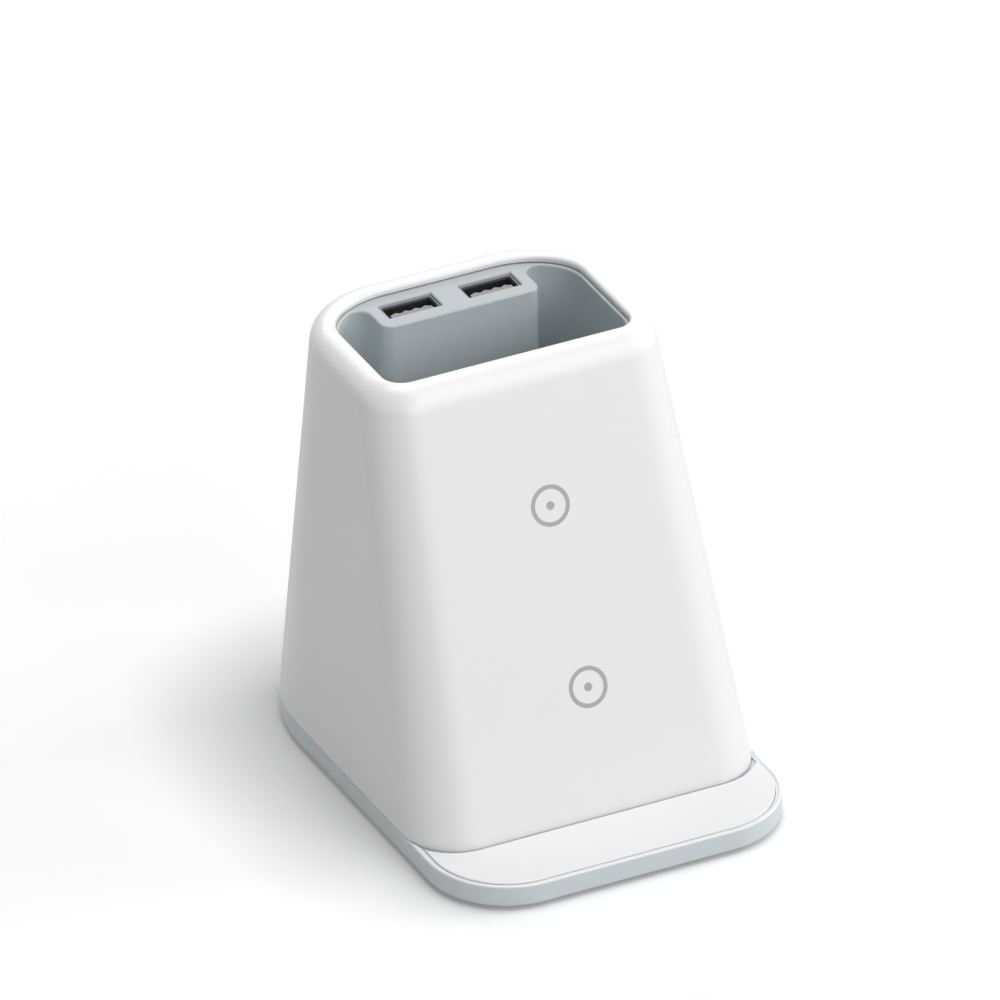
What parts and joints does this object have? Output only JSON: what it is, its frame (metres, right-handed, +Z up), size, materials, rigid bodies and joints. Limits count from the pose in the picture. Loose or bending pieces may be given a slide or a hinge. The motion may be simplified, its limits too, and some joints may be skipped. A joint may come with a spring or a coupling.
{
  "type": "wireless charger pen holder",
  "caption": "Wireless charging stand with a tapered pen cup, charging coils behind its leaning face, a phone ledge and USB-A sockets on a shelf inside the rim.",
  "frame": {"origin": "on the table under the middle of the base, at the lowest point of the rubber feet", "axes": "+Z up, +Y from the phone ledge to the power inlet at the back, +X to the right seen from the front"},
  "size_m": [0.087, 0.114, 0.1046],
  "materials": {
    "shell_white": "satin white ABS with a fine even gloss",
    "plate_white": "polished white acrylic",
    "grey_blue": "fine satin grey-blue ABS",
    "foot_rubber": "dark matte rubber",
    "carrier_plastic": "dark matte moulding",
    "ferrite": "dark grey ferrite sheet under a thin film",
    "coil_copper": "enamelled copper wire",
    "steel": "bright zinc or nickel plate",
    "board_green": "green solder mask on glass-epoxy board",
    "chip_black": "black moulded package",
    "capacitor_ceramic": "tan ceramic block",
    "header_cream": "cream nylon header",
    "socket_black": "black insulator",
    "contact_gold": "gold-plated contact",
    "lead_black": "black lead insulation"
  },
  "bodies": {
    "root": {"outer_shell": "shell_white", "cup_liner": "grey_blue", "base_tray": "grey_blue", "ledge_plate": "plate_white", "foot_front_left": "foot_rubber", "foot_front_right": "foot_rubber", "foot_back_left": "foot_rubber", "foot_back_right": "foot_rubber", "base_screw_front_left": "steel", "base_screw_front_right": "steel", "base_screw_back_left": "steel", "base_screw_back_right": "steel", "coil_carrier": "carrier_plastic", "carrier_screw_front_left": "steel", "carrier_screw_front_right": "steel", "carrier_screw_back_left": "steel", "carrier_screw_back_right": "steel", "charging_coil_lower": "coil_copper", "charging_coil_upper": "coil_copper", "ferrite_sheet_lower": "ferrite", "ferrite_sheet_upper": "ferrite", "main_board": "board_green", "board_screw_front_left": "steel", "board_screw_front_right": "steel", "board_screw_back_left": "steel", "board_screw_back_right": "steel", "controller_chip": "chip_black", "bridge_chip_lower": "chip_black", "bridge_chip_upper": "chip_black", "port_chip": "chip_black", "port_inductor": "chip_black", "resonant_capacitor_lower": "capacitor_ceramic", "resonant_capacitor_upper": "capacitor_ceramic", "bulk_capacitor": "steel", "lead_header_lower": "header_cream", "lead_header_upper": "header_cream", "port_header": "header_cream", "inlet_shell": "steel", "inlet_tongue": "socket_black", "usb_shell_left": "steel", "usb_shell_right": "steel", "usb_tongue_left": "socket_black", "usb_tongue_right": "socket_black", "usb_contact_left_1": "contact_gold", "usb_contact_left_2": "contact_gold", "usb_contact_left_3": "contact_gold", "usb_contact_left_4": "contact_gold", "usb_contact_right_1": "contact_gold", "usb_contact_right_2": "contact_gold", "usb_contact_right_3": "contact_gold", "usb_contact_right_4": "contact_gold", "port_board": "board_green", "port_screw_1": "steel", "port_screw_2": "steel", "coil_lead_lower": "lead_black", "coil_lead_upper": "lead_black", "port_harness": "lead_black"}
  },
  "joints": []
}
